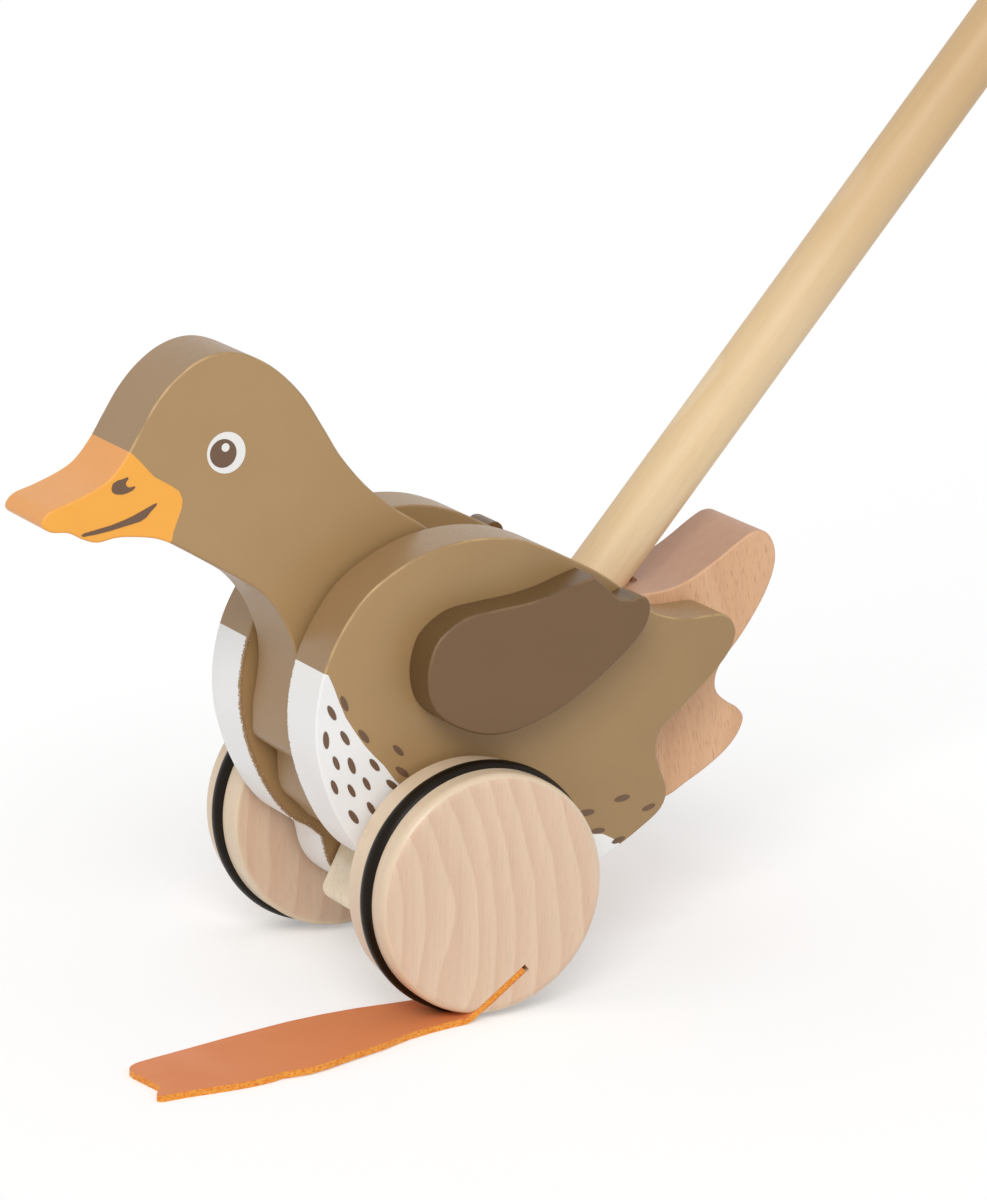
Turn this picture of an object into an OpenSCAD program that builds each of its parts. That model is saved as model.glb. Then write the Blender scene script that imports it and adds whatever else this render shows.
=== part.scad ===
// Duck push toy: a wooden duck on two wheels with leather feet, pushed by a rod.
// Millimetres, +Z up, floor at z = 0. The duck faces -X and its left side is -Y.
// Outlines are drawn round the axle's centre and lifted to the axle's height.

/* [Body] */
// thickness of each side panel
panel_t = 19; // [15:0.5:24]
// width of the gap between the panels, which the tail core fills
gap_w = 31.5; // [29:0.5:38]
// wood left round the axle in each panel's lower lobe
lobe_wall = 11.5; // [9:0.5:13]
// thickness of each wing
wing_t = 12; // [8:0.5:16]
// how far the right panel sits below the left one's mirror image
far_panel_drop = 1.2; // [0:0.1:2]
// how far the right wing is glued ahead of the left one's mirror image
far_wing_ahead = 3.1; // [0:0.1:4]
// how far the right wing is glued above the left one's mirror image
far_wing_up = 0.2; // [0:0.1:2]
// turn of the right wing, tail end up
far_wing_turn = 8; // [0:0.5:10]

/* [Head] */
// thickness of the head plate
head_t = 26; // [20:0.5:26.5]
// diameter of the dowel that the head swings on
head_dowel_d = 10; // [6:0.5:12]
// outer diameter of the washers beside the head
head_washer_d = 22; // [18:1:26]
// diameter of the dowel that stops the head's foot
stop_d = 8; // [6:0.5:10]

/* [Wheels] */
// radius of the wooden wheels
wheel_r = 36.25; // [32:0.25:42]
// thickness of the wheels
wheel_t = 22.4; // [16:0.2:24]
// rounding of the wheels' outer edges
wheel_round = 3; // [2:0.1:5]
// rounding of the wheels' inner edges
wheel_round_in = 0.8; // [0.5:0.1:4]
// gap between a panel and its wheel
wheel_gap = 2.4; // [2:0.1:6]
// cord radius of the ring tyres
tyre_cord_r = 3.9; // [2:0.05:4.5]
// how far the tyres stand proud of the rim
tyre_proud = 1.75; // [1:0.05:2.2]
// how far outside the middle of the wheel the tyres run
tyre_out = 0.9; // [0:0.1:2]

/* [Axle] */
// diameter of the axle
axle_d = 12; // [8:0.5:14]
// depth of the blind axle bore in each wheel
axle_bite = 14; // [10:0.5:15]
// outer diameter of the axle washers
axle_washer_d = 24; // [18:1:30]

/* [Cam] */
// radius of the cam's round back
cam_base_r = 10; // [9:0.2:13]
// radius of the cam's nose
cam_nose_r = 3.8; // [3:0.1:6]
// distance from the axle's centre to the nose's tip
cam_reach = 25.1; // [22:0.1:26]
// direction of the nose, from +X towards +Z
cam_turn = 226; // [0:1:359]
// thickness of the cam
cam_t = 29.5; // [20:0.5:30]

/* [Rod] */
// diameter of the push rod
rod_d = 18; // [14:0.5:20]
// length of the rod above its shoulder
rod_len = 485; // [300:5:600]
// slope of the rod above the floor
rod_tilt = 48.4; // [42:0.2:54]
// length of the rod's tenon below the shoulder
tenon_len = 55; // [45:1:60]
// step between the rod and its tenon, on the radius
tenon_step = 0.3; // [0.2:0.1:1]
// rounding of the rod's upper end
rod_round = 6; // [2:0.5:7]
// diameter of the locking peg at the rod's foot
peg_d = 3.2; // [2.6:0.2:4]
// length of the locking peg
peg_len = 16; // [10:1:20]
// wood left between the rod's tenon and the locking peg
peg_wall = 1; // [0.8:0.1:2]

/* [Feet] */
// thickness of the leather
leather_t = 2; // [1.4:0.1:2.6]
// length of a foot, from the axle's line to its toes
foot_len = 116.5; // [100:0.5:130]
// reach of a foot outward of the tyre's line
foot_w = 30.4; // [26:0.2:34]
// rise of the foot's arch off the floor
foot_arch = 0.4; // [0:0.1:3]
// distance of the saw cut from the axle's centre
kerf_off = 25.3; // [20:0.1:28]
// slope of the saw cut
kerf_tilt = 35.5; // [25:0.5:45]
// distance from the cut's inner end to the point nearest the axle
kerf_start = 4.8; // [0:0.2:8]
// empty length left at the inner end of the cut
kerf_spare = 1.2; // [0.4:0.1:3]

/* [Dowels] */
// diameter of the core's dowels
core_dowel_d = 8; // [6:0.5:10]
// diameter of the wings' dowels
wing_dowel_d = 6; // [4:0.5:8]
// depth of the dowel holes in the panels' inner faces
dowel_bite = 10; // [8:0.5:11]
// depth of the wing dowels, in the wing and in the panel
wing_bite = 6; // [5:0.5:7]

/* [Clearances] */
// radial running fit of the axle and the head's dowel
run_gap = 0.05; // [0.02:0.01:0.1]
// radial room for glue round dowels, tenon and axle ends
glue_gap = 0.02; // [0:0.01:0.05]
// end room in blind holes
end_gap = 0.5; // [0.2:0.1:1]
// gap beside washers and beside the leather
side_gap = 0.3; // [0.2:0.05:0.5]
// gap between the cam's nose and what stands round it
cam_gap = 0.5; // [0.3:0.1:1]
// gap between the leather and the saw cut
kerf_gap = 0.1; // [0.05:0.05:0.2]

/* [Hidden] */
$fn = 72;
sub = 6;
axle_r = axle_d / 2;
rim_r = wheel_r + tyre_proud;
axle_h = rim_r;
half_gap = gap_w / 2;
panel_y = half_gap + panel_t;
wing_y = panel_y + wing_t;
wheel_in = panel_y + wheel_gap;
track = wheel_in + wheel_t / 2;
tyre_mid = rim_r - tyre_cord_r;
lobe_r = axle_r + lobe_wall;
pivot = [0, 75];
head_dowel_r = head_dowel_d / 2;
foot_r = cam_reach + cam_gap;
heel_x = -12.3;
stop_r = stop_d / 2;
stop_x = heel_x + side_gap + stop_r;
stop_z = sqrt(pow(foot_r + stop_r, 2) - pow(stop_x, 2));
tenon_r = rod_d / 2 - tenon_step;
rod_foot = [72.5, 80.5];
core_dowel_at = [[50, 22], [79, 55], [30, 60]];
wing_dowel_at = [[4, 60], [40, 68]];
wing_mid = [20, 65];
far_wing_mid = wing_mid + [-far_wing_ahead, far_wing_up];
flap_x = sqrt(pow(wheel_r + side_gap, 2) - pow(rim_r - leather_t, 2)) + 0.1;
kerf_w = leather_t + 2 * kerf_gap;

// one point of a smooth curve through p1 and p2
function blend(p0, p1, p2, p3, t) =
    0.5 * (2 * p1 + (p2 - p0) * t
    + (2 * p0 - 5 * p1 + 4 * p2 - p3) * t * t
    + (3 * p1 - p0 - 3 * p2 + p3) * t * t * t);

// a smooth run through the points, without its last point
function run(p) = [
    for (i = [0 : len(p) - 2])
    for (k = [0 : sub - 1])
    blend(p[max(i - 1, 0)], p[i], p[i + 1], p[min(i + 2, len(p) - 1)], k / sub)
];

// points on an arc from angle a to angle b
function arc(c, r, a, b, n) = [
    for (i = [0 : n])
    c + r * [cos(a + (b - a) * i / n), sin(a + (b - a) * i / n)]
];

panel_run = [
    [-18.2, 1.2], [-22.4, 4.8], [-28.4, 8.6], [-34, 15], [-38.8, 23.5], [-42.3, 32.5], [-44.5, 42],
    [-44.9, 51], [-43.6, 60.5], [-40.5, 70], [-35, 79.5], [-28, 87.7], [-18, 94],
    [-7, 98.3], [6, 100], [18, 99], [28, 95.8], [37, 91.2], [46, 86.3], [54, 81],
    [60.5, 75.3], [66.4, 70.9], [72.5, 68.4], [79, 67.2], [85.5, 67.3], [90.6, 66.9],
    [93.7, 64.6], [95, 60.6], [93.3, 55.9], [88.9, 50.6], [82.5, 44.8], [75.5, 39.1],
    [69.8, 34.5], [67.9, 28.5], [69.2, 22.8], [71.6, 15.4], [69.6, 9.6], [62.4, 4.3],
    [50.6, -2.5], [39.4, -8.2], [27, -12.8], [14, -16.3]
];

// from the neck's lower corner, up the front, round the beak and head, to the heel
head_run = [
    [-42.2, 37.8], [-42, 46], [-40.7, 53], [-40, 60], [-40.6, 67], [-42.8, 73.5],
    [-46.3, 80.3], [-51.5, 86.5], [-58, 91], [-64.5, 95], [-71, 99], [-77, 102.8],
    [-83.5, 105.9], [-90, 107.3], [-96.5, 107.9], [-102.5, 107.2], [-107, 108.6],
    [-111.5, 111], [-117, 111.9], [-120, 114.5], [-117.6, 117.9], [-111, 120],
    [-104, 122.5], [-98.5, 125.5], [-93.5, 131], [-89, 138], [-84, 145.5],
    [-78, 151.8], [-70.5, 156.6], [-62, 158.4], [-53.5, 156.3], [-45, 151],
    [-37, 142.7], [-30.5, 132.5], [-25, 123.5], [-17, 114], [-8, 106.3], [2, 99.6],
    [9.5, 92.5], [13.5, 84], [13.8, 75], [11, 66], [5, 54.5], [-3, 43.5],
    [-9.5, 35.8], [heel_x, 31]
];
heel_a = 180 - acos(-heel_x / foot_r);
toe = foot_r * [cos(160), sin(160)];
head_toe_run = [
    toe, [-26.6, 11.6], [-29.2, 14.2], [-32, 16.8], [-33.5, 19.8], [-34.1, 24], [-34.2, 30]
];

// from the notch between the feathers, round the lower feather and front, to the tip
wing_tip = [40, 87.5];
wing_run = [
    [49, 78.9], [52.5, 78.8], [55.2, 79.6], [57.9, 78.6], [58.9, 75.4], [57.2, 70.2],
    [52.2, 64.6], [45.5, 59.2], [37.5, 53.8], [28.8, 49], [18.5, 45.3], [9.6, 43.9],
    [1.5, 45.1], [-6.1, 48.5], [-10.7, 52], [-13.5, 56.4], [-14.6, 62], [-14.1, 67.8],
    [-11.8, 73.7], [-7.5, 77.6], [-1.4, 80.5], [7.9, 81.5], [17.2, 82.2], [26, 83.6],
    [33.5, 85.8], wing_tip
];

core_run = [
    [22, 67], [40, 69.4], [60, 70.3], [75, 70.8], [81.8, 71.1], [89, 72.8],
    [95.3, 75.9], [101.3, 79.3], [107, 82.9], [111.8, 85.3], [115.6, 85.2], [118.4, 82.6],
    [119.9, 78], [119.3, 72.6], [116.7, 66.2], [112.7, 59.7], [107.6, 52.9], [101.3, 45.8],
    [99.3, 41], [99.9, 36.9], [103.3, 33.6], [107.2, 31], [109.2, 27.6], [107.3, 22.8],
    [102.8, 18], [96.3, 13.6], [89.6, 10], [82.6, 6.5], [75, 6], [66.5, 10.2]
];
core_front = [[58, 8], [46, 5.5], [36, 10], [26, 22], [20, 40], [20, 60]];

// foot outline as shares of its length and of its reach outward of the tyre's line
function ahead(list) = [for (p = list) [p[0] * foot_len, p[1] * foot_w]];
foot_edge = wheel_t / 2 - side_gap;
heel_out = [flap_x, foot_edge];
heel_in = [flap_x, -foot_edge];
// the outer edge up to the side toe, and on to the front toe
foot_side_run = concat([heel_out], ahead([
    [0.12, 0.375], [0.19, 0.428], [0.258, 0.503], [0.352, 0.664], [0.455, 0.796], [0.532, 0.901],
    [0.588, 0.954], [0.635, 0.944]
]));
foot_toe_run = ahead([
    [0.661, 0.934], [0.695, 0.974], [0.755, 1], [0.833, 0.993], [0.91, 0.974], [0.991, 0.977]
]);
// the front toe's blunt tip, the notch behind it and the inner toe's first point
foot_front = ahead([[0.991, 0.977], [1, 0.934], [0.987, 0.852], [0.967, 0.753]]);
foot_in_run = concat(ahead([
    [0.968, 0.641], [0.975, 0.434], [0.98, 0.273], [0.981, 0.181], [0.967, 0.092], [0.932, 0.02],
    [0.878, -0.033], [0.778, -0.112], [0.67, -0.201], [0.577, -0.263], [0.492, -0.322], [0.388, -0.368],
    [0.286, -0.391], [0.19, -0.375]
]), [heel_in]);
function foot_rise(x) = foot_arch * pow(sin(180 * min(1, max(0, (x / foot_len - 0.12) / 0.72))), 2);

module slab(y0, y1) {
    translate([0, y1, 0])
        rotate([90, 0, 0])
        linear_extrude(y1 - y0)
        children();
}

module cross_pin(at, r, y0, y1) {
    translate([at[0], y0, at[1]])
        rotate([-90, 0, 0])
        cylinder(r = r, h = y1 - y0);
}

module ring(r_out, r_in, y0, y1) {
    difference() {
        cross_pin([0, 0], r_out, y0, y1);
        cross_pin([0, 0], r_in, y0 - 1, y1 + 1);
    }
}

module right_side() {
    mirror([0, 1, 0])
        children();
}

module lifted() {
    translate([0, 0, axle_h])
        children();
}

module along_rod(s) {
    translate([rod_foot[0], 0, rod_foot[1]])
        rotate([0, 90 - rod_tilt, 0])
        translate([0, 0, s])
        children();
}

// where a point of the left wing lies on the right one
function far_at(p) = far_wing_mid + [
    (p - wing_mid) * [cos(far_wing_turn), -sin(far_wing_turn)],
    (p - wing_mid) * [sin(far_wing_turn), cos(far_wing_turn)]
];

module far_wing() {
    translate([far_wing_mid[0], 0, far_wing_mid[1]])
        rotate([0, -far_wing_turn, 0])
        translate([-wing_mid[0], 0, -wing_mid[1]])
        children();
}

// the left side is built, and the right side is its mirror image with a few offsets
module panel_shape(drop = 0, wing_at = wing_dowel_at) {
    difference() {
        slab(-panel_y, -half_gap)
            translate([0, -drop])
            polygon(concat(run(panel_run), arc([0, 0], lobe_r, 280, 190, 12)));
        cross_pin([0, 0], axle_r + run_gap, -panel_y - 1, -half_gap + 1);
        cross_pin(pivot, head_dowel_r + glue_gap, -half_gap - dowel_bite - end_gap, -half_gap + 1);
        cross_pin([stop_x, stop_z], stop_r + glue_gap,
            -half_gap - dowel_bite - end_gap, -half_gap + 1);
        for (at = core_dowel_at)
            cross_pin(at, core_dowel_d / 2 + glue_gap,
                -half_gap - dowel_bite - end_gap, -half_gap + 1);
        for (at = wing_at)
            cross_pin(at, wing_dowel_d / 2 + glue_gap,
                -panel_y - 1, -panel_y + wing_bite + end_gap);
    }
}

module wing_shape() {
    difference() {
        slab(-wing_y, -panel_y)
            polygon(concat(run(wing_run), [wing_tip]));
        for (at = wing_dowel_at)
            cross_pin(at, wing_dowel_d / 2 + glue_gap,
                -panel_y - wing_bite - end_gap, -panel_y + 1);
    }
}

module wing_dowel_shape() {
    for (at = wing_dowel_at)
        cross_pin(at, wing_dowel_d / 2, -panel_y - wing_bite, -panel_y + wing_bite);
}

module wheel_profile() {
    h = wheel_t / 2;
    polygon(concat(
        [[0, -h]],
        arc([wheel_r - wheel_round_in, -h + wheel_round_in], wheel_round_in, -90, 0, 8),
        arc([wheel_r - wheel_round, h - wheel_round], wheel_round, 0, 90, 8),
        [[0, h]]
    ));
}

module tyre_torus(r) {
    rotate([90, 0, 0])
        rotate_extrude()
        translate([tyre_mid, tyre_out])
        circle(r);
}

// a bar lying along the saw cut, from its inner end outward
module kerf_bar(start, length, w) {
    slab(-wheel_t, wheel_t)
        rotate(180 + kerf_tilt)
        translate([start, kerf_off - w / 2])
        square([length, w]);
}

module wheel_shape() {
    translate([0, -track, 0])
        difference() {
            rotate([90, 0, 0])
                rotate_extrude()
                wheel_profile();
            tyre_torus(tyre_cord_r + glue_gap);
            kerf_bar(kerf_start, wheel_r, kerf_w);
            cross_pin([0, 0], axle_r + glue_gap, wheel_t / 2 - axle_bite - end_gap, wheel_t);
        }
}

module tyre_shape() {
    translate([0, -track, 0])
        tyre_torus(tyre_cord_r);
}

module foot_root_shape() {
    translate([0, -track, 0])
        difference() {
            intersection() {
                kerf_bar(kerf_start + kerf_spare, wheel_r, leather_t);
                cross_pin([0, 0], wheel_r - side_gap, -wheel_t / 2, wheel_t / 2);
            }
            tyre_torus(tyre_cord_r + side_gap);
        }
}

module foot_shape() {
    plan = concat(
        run(foot_side_run), ahead([[0.635, 0.944]]), run(foot_toe_run), foot_front,
        run(foot_in_run), [heel_in]
    );
    steps = [for (i = [0 : 24]) flap_x + (foot_len + 1 - flap_x) * i / 24];
    low = [for (x = steps) [-x, -rim_r + foot_rise(x)]];
    high = [for (i = [24 : -1 : 0]) low[i] + [0, leather_t]];
    translate([0, -track, 0])
        difference() {
            intersection() {
                slab(-60, 60)
                    polygon(concat(low, high));
                translate([0, 0, -rim_r - 5])
                    linear_extrude(20)
                    polygon([for (p = plan) [-p[0], -p[1]]]);
            }
            translate([0, -tyre_out, 0])
                cross_pin([0, 0], rim_r + side_gap, -tyre_cord_r - side_gap, tyre_cord_r + side_gap);
        }
}

module head() {
    color("#AC8E62")
        lifted()
        difference() {
            slab(-head_t / 2, head_t / 2)
                polygon(concat(
                    run(head_run),
                    [[heel_x, 31]],
                    arc([0, 0], foot_r, heel_a, 160, 8),
                    run(head_toe_run),
                    [[-34.2, 30], [-40.6, 34.9], [-41.8, 36.2]]
                ));
            cross_pin(pivot, head_dowel_r + run_gap, -head_t, head_t);
        }
}

module left_side_panel() {
    color("#AC8E62")
        lifted()
        panel_shape();
}

module right_side_panel() {
    color("#AC8E62")
        lifted()
        right_side()
        panel_shape(far_panel_drop, [for (at = wing_dowel_at) far_at(at)]);
}

module left_wing() {
    color("#765C41")
        lifted()
        wing_shape();
}

module right_wing() {
    color("#765C41")
        lifted()
        far_wing()
        right_side()
        wing_shape();
}

module left_wing_dowels() {
    color("#D9B98C")
        lifted()
        wing_dowel_shape();
}

module right_wing_dowels() {
    color("#D9B98C")
        lifted()
        far_wing()
        right_side()
        wing_dowel_shape();
}

module tail_core() {
    color("#D7AA82")
        lifted()
        difference() {
            slab(-half_gap, half_gap)
                polygon(concat(run(core_run), [[66.5, 10.2]], core_front));
            along_rod(-tenon_len - end_gap)
                cylinder(r = tenon_r + glue_gap, h = tenon_len + 40);
            along_rod(-peg_len)
                translate([peg_x, 0, peg_s])
                cylinder(r = peg_d / 2 + glue_gap, h = peg_len + 20);
            for (at = core_dowel_at)
                cross_pin(at, core_dowel_d / 2 + glue_gap, -gap_w, gap_w);
        }
}

module core_dowels() {
    color("#D9B98C")
        lifted()
        for (at = core_dowel_at)
            cross_pin(at, core_dowel_d / 2, -half_gap - dowel_bite, half_gap + dowel_bite);
}

// the peg stands behind the rod, beside the tenon and parallel to it
peg_x = tenon_r + peg_wall + peg_d / 2;
peg_s = -2.4;
module rod_locking_peg() {
    color("#8A4B2E")
        lifted()
        along_rod(-peg_len + end_gap)
        translate([peg_x, 0, peg_s])
        cylinder(r = peg_d / 2, h = peg_len);
}

module push_rod() {
    r = rod_d / 2;
    color("#E4C896")
        lifted()
        along_rod(0)
        rotate_extrude()
        polygon(concat(
            [[0, -tenon_len], [tenon_r, -tenon_len], [tenon_r, 0], [r, 0]],
            arc([r - rod_round, rod_len - rod_round], rod_round, 0, 90, 8),
            [[0, rod_len]]
        ));
}

module head_pivot_dowel() {
    color("#D9B98C")
        lifted()
        cross_pin(pivot, head_dowel_r, -half_gap - dowel_bite, half_gap + dowel_bite);
}

module head_stop_dowel() {
    color("#D9B98C")
        lifted()
        cross_pin([stop_x, stop_z], stop_r, -half_gap - dowel_bite, half_gap + dowel_bite);
}

module head_washer_shape() {
    translate([pivot[0], 0, pivot[1]])
        ring(head_washer_d / 2, head_dowel_r + run_gap, -half_gap + side_gap / 2,
            -head_t / 2 - side_gap);
}

module left_head_washer() {
    color("#E6D7B9")
        lifted()
        head_washer_shape();
}

module right_head_washer() {
    color("#E6D7B9")
        lifted()
        right_side()
        head_washer_shape();
}

module axle() {
    color("#D9B98C")
        lifted()
        cross_pin([0, 0], axle_r, -wheel_in - axle_bite, wheel_in + axle_bite);
}

module axle_washer_shape() {
    ring(axle_washer_d / 2, axle_r + run_gap, -wheel_in + side_gap, -panel_y - side_gap);
}

module left_axle_washer() {
    color("#E6D7B9")
        lifted()
        axle_washer_shape();
}

module right_axle_washer() {
    color("#E6D7B9")
        lifted()
        right_side()
        axle_washer_shape();
}

module cam() {
    d = cam_reach - cam_nose_r;
    lean = acos((cam_base_r - cam_nose_r) / d);
    color("#E6D7B9")
        lifted()
        difference() {
            slab(-cam_t / 2, cam_t / 2)
                rotate(cam_turn)
                polygon(concat(
                    arc([d, 0], cam_nose_r, -lean, lean, 16),
                    arc([0, 0], cam_base_r, lean, 360 - lean, 32)
                ));
            cross_pin([0, 0], axle_r + glue_gap, -cam_t, cam_t);
        }
}

module left_wheel() {
    color("#DEBEA0")
        lifted()
        wheel_shape();
}

// the right wheel's cut and foot stand half a turn round from the left ones
module half_turn() {
    rotate([0, 180, 0])
        right_side()
        children();
}

module right_wheel() {
    color("#DEBEA0")
        lifted()
        half_turn()
        wheel_shape();
}

module left_tyre() {
    color("#14100E")
        lifted()
        tyre_shape();
}

module right_tyre() {
    color("#14100E")
        lifted()
        half_turn()
        tyre_shape();
}

module left_foot_root() {
    color("#F0962E")
        lifted()
        foot_root_shape();
}

module right_foot_root() {
    color("#F0962E")
        lifted()
        half_turn()
        foot_root_shape();
}

module left_foot() {
    color("#D77D4B")
        lifted()
        foot_shape();
}

module right_foot() {
    color("#D77D4B")
        lifted()
        half_turn()
        foot_shape();
}

left_side_panel();
right_side_panel();
tail_core();
head();
left_wing();
right_wing();
push_rod();
rod_locking_peg();
head_pivot_dowel();
left_head_washer();
right_head_washer();
head_stop_dowel();
core_dowels();
left_wing_dowels();
right_wing_dowels();
axle();
cam();
left_wheel();
right_wheel();
left_tyre();
right_tyre();
left_axle_washer();
right_axle_washer();
left_foot_root();
right_foot_root();
left_foot();
right_foot();
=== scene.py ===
# %% [markdown]
# # A wooden duck push toy
# The toy is a stack of plates cut from board: two painted side panels, a natural tail plate
# between them, a thinner head plate that nods in the gap, and a wing on each side. It runs on
# two turned wheels with rubber rings, each with a leather foot set in a saw cut.
# The pieces stand where the CAD model that is loaded here has them. Only the painted lines and
# spots, the foot's outline and the places of the rod and the saw cut have values of their own.

# %% Load the frame
import math

import bmesh
import bpy
import numpy as np
from mathutils import Matrix, Vector


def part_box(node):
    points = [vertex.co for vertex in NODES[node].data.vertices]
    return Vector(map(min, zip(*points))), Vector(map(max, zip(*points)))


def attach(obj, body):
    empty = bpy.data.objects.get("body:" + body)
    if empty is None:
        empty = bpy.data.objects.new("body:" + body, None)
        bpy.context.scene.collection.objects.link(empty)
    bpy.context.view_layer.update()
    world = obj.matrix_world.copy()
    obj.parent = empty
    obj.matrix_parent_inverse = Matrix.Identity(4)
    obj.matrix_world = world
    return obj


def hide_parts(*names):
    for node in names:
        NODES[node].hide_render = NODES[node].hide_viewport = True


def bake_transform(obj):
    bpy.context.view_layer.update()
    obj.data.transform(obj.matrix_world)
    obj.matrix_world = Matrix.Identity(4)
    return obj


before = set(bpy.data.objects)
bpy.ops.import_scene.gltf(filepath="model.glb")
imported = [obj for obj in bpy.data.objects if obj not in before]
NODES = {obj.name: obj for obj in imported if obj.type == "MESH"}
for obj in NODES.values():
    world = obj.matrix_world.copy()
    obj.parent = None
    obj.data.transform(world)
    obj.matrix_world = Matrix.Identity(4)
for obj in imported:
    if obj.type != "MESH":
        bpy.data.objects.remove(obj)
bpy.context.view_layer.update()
MM = 0.001
AXLE = Vector((0, 0, sum(corner.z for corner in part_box("axle")) / 2))
print("CAD nodes:", len(NODES), "axle height:", round(AXLE.z, 4))

# %% [markdown]
# ## Camera
# The two rubber rings are true circles on one axle, so their ellipses in the photograph give
# the camera: a long lens, about 1.8 m away, to the left of the toy and a little above it.

# %% Camera
AZIMUTH, ELEVATION = math.radians(-28.25), math.radians(14.9)
CAMERA_PLACE = (-0.78875, -1.52691, 0.56979)
SENSOR_HEIGHT, LENS, VIEW_END = 36, 181.06, 30


def in_scene(name, data):
    obj = bpy.data.objects.new(name, data)
    bpy.context.scene.collection.objects.link(obj)
    return obj


back = Vector((
    math.sin(AZIMUTH) * math.cos(ELEVATION),
    -math.cos(AZIMUTH) * math.cos(ELEVATION),
    math.sin(ELEVATION),
))
right = Vector((math.cos(AZIMUTH), math.sin(AZIMUTH), 0))
camera_data = bpy.data.cameras.new("photo_camera")
camera_data.sensor_fit = "VERTICAL"
camera_data.sensor_height = SENSOR_HEIGHT
camera_data.lens = LENS
camera_data.clip_end = VIEW_END
camera = in_scene("photo_camera", camera_data)
turn = Matrix((right, back.cross(right), back)).transposed()
camera.matrix_world = Matrix.Translation(CAMERA_PLACE) @ turn.to_4x4()
bpy.context.scene.camera = camera
bpy.context.scene.view_settings.view_transform = "Standard"
print("camera lens:", camera_data.lens)

# %% [markdown]
# ## Node helpers
# A material is a small network. These helpers add a node, set or link its inputs by name, and
# open a shared node group, so that each finish below reads as a short recipe.

# %% Node helpers
def srgb(*levels):
    shares = [level / 255 for level in levels]
    linear = [s / 12.92 if s < 0.04045 else ((s + 0.055) / 1.055) ** 2.4 for s in shares]
    return (*linear, 1)


def add(tree, kind, inputs=None, **settings):
    made = tree.nodes.new(kind)
    for name, value in settings.items():
        setattr(made, name, value)
    for name, value in (inputs or {}).items():
        if isinstance(value, bpy.types.NodeSocket):
            tree.links.new(value, made.inputs[name])
        else:
            made.inputs[name].default_value = value
    return made


def math_node(tree, operation, a, b=0.0, clamp=False):
    made = add(tree, "ShaderNodeMath", {0: a, 1: b}, operation=operation, use_clamp=clamp)
    return made.outputs[0]


def mix_colour(tree, factor, a, b):
    # In the Mix node, inputs 6 and 7 take the two colours and output 2 gives the mixed one.
    return add(tree, "ShaderNodeMix", {0: factor, 6: a, 7: b}, data_type="RGBA").outputs[2]


def noise(tree, vector, scale, detail):
    stretched = add(tree, "ShaderNodeMapping", {"Vector": vector, "Scale": scale})
    texture = add(tree, "ShaderNodeTexNoise",
                  {"Vector": stretched.outputs[0], "Scale": 1.0, "Detail": detail})
    return texture.outputs["Fac"]


def ramp(tree, value, low, high, to_low=0.0, to_high=1.0):
    made = add(tree, "ShaderNodeMapRange", {
        "Value": value, "From Min": low, "From Max": high, "To Min": to_low, "To Max": to_high,
    })
    return made.outputs[0]


def swing(tree, value, low, high):
    # A noise value mostly runs from 0.3 to 0.7.
    return ramp(tree, value, 0.3, 0.7, low, high)


FINISH_OUT = [("Color", "Color"), ("Roughness", "Float"), ("Height", "Float")]
WHITE, BLACK = (1, 1, 1, 1), (0, 0, 0, 1)


def open_group(name, inputs):
    tree = bpy.data.node_groups.new(name, "ShaderNodeTree")
    for label, kind, value in inputs:
        socket = tree.interface.new_socket(label, in_out="INPUT", socket_type="NodeSocket" + kind)
        if value is not None:
            socket.default_value = value
    for label, kind in FINISH_OUT:
        tree.interface.new_socket(label, in_out="OUTPUT", socket_type="NodeSocket" + kind)
    return tree, tree.nodes.new("NodeGroupInput").outputs, tree.nodes.new("NodeGroupOutput").inputs


print("outputs of a finish:", len(FINISH_OUT))

# %% [markdown]
# ## Wood grain
# Beech shows three things: broad growth bands with one crisp side, fine fibres along the
# grain, and short dark flecks. A photo texture could show them, but it would smear round the
# edges, so the grain is a solid pattern that runs through the wood along its local Z. Its
# scales count waves per millimetre.

# %% Wood grain group
SWAY, FIBRE, STREAK = (0.03, 0.02, 0.014), (2.6, 2.6, 0.07), (0.35, 0.35, 0.012)
FLECK, FLECK_FROM, FLECK_FULL = (1.6, 0.6, 0.13), 0.56, 0.7
BAND_TOP, BAND_FALL = 0.86, 0.93
EDGE_SHARE, WEAR_AND_HIGHLIGHT_SHARE, FIBRE_RELIEF = 0.85, 0.7, 0.4
grain, g_in, g_out = open_group("wood_grain", [
    ("Vector", "Vector", None), ("Pale", "Color", WHITE), ("Warm", "Color", WHITE),
    ("Fleck", "Color", BLACK), ("Band Width", "Float", 6.0), ("Bend", "Float", 1.0),
    ("Fibre", "Float", 0.1), ("Fleck Amount", "Float", 0.3), ("Fleck Scale", "Float", 1.0),
    ("Bow", "Float", 0.0), ("Edge Tone", "Color", WHITE), ("Edge", "Float", 0.0),
    ("Wear And Highlight Edge", "Float", 0.0),
])
split = add(grain, "ShaderNodeSeparateXYZ", {0: g_in["Vector"]})
sway = math_node(grain, "MULTIPLY", noise(grain, g_in["Vector"], SWAY, detail=2), g_in["Bend"])
bow = math_node(grain, "MULTIPLY", math_node(grain, "POWER", split.outputs[2], 2.0), g_in["Bow"])
across = math_node(grain, "ADD", split.outputs[0], bow)
across = math_node(grain, "DIVIDE", across, g_in["Band Width"])
band = math_node(grain, "FRACT", math_node(grain, "ADD", across, sway))
rise = ramp(grain, band, 0.0, BAND_TOP)
fall = ramp(grain, band, BAND_FALL, 1.0, 1.0, 0.0)
band = math_node(grain, "MULTIPLY", rise, fall)
fibre = noise(grain, g_in["Vector"], FIBRE, detail=3)
streak = noise(grain, g_in["Vector"], STREAK, detail=2)
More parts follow.
